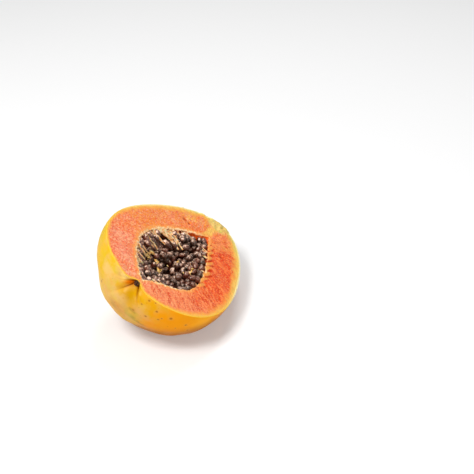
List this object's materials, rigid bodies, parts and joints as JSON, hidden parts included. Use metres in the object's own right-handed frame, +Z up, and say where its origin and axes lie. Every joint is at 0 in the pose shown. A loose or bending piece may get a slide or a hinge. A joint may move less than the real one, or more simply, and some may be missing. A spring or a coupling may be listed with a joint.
{
  "type": "papaya half",
  "caption": "Ripe papaya cut lengthwise in half, lying on its yellow skin with the orange flesh and the seed-filled cavity turned up and to one side.",
  "frame": {"origin": "under the middle of the box, on the surface that the half rests on", "axes": "+X along the fruit from the broad blossom end to the slimmer stem end, seen from above; +Y towards the raised side of the cut, which faces up and towards -Y; +Z up"},
  "size_m": [0.19, 0.1236, 0.1053],
  "materials": {
    "flesh": "moist",
    "skin": "waxy",
    "seeds": "wet"
  },
  "bodies": {
    "root": {"flesh_and_skin": "flesh", "seeds": "seeds"}
  },
  "joints": []
}
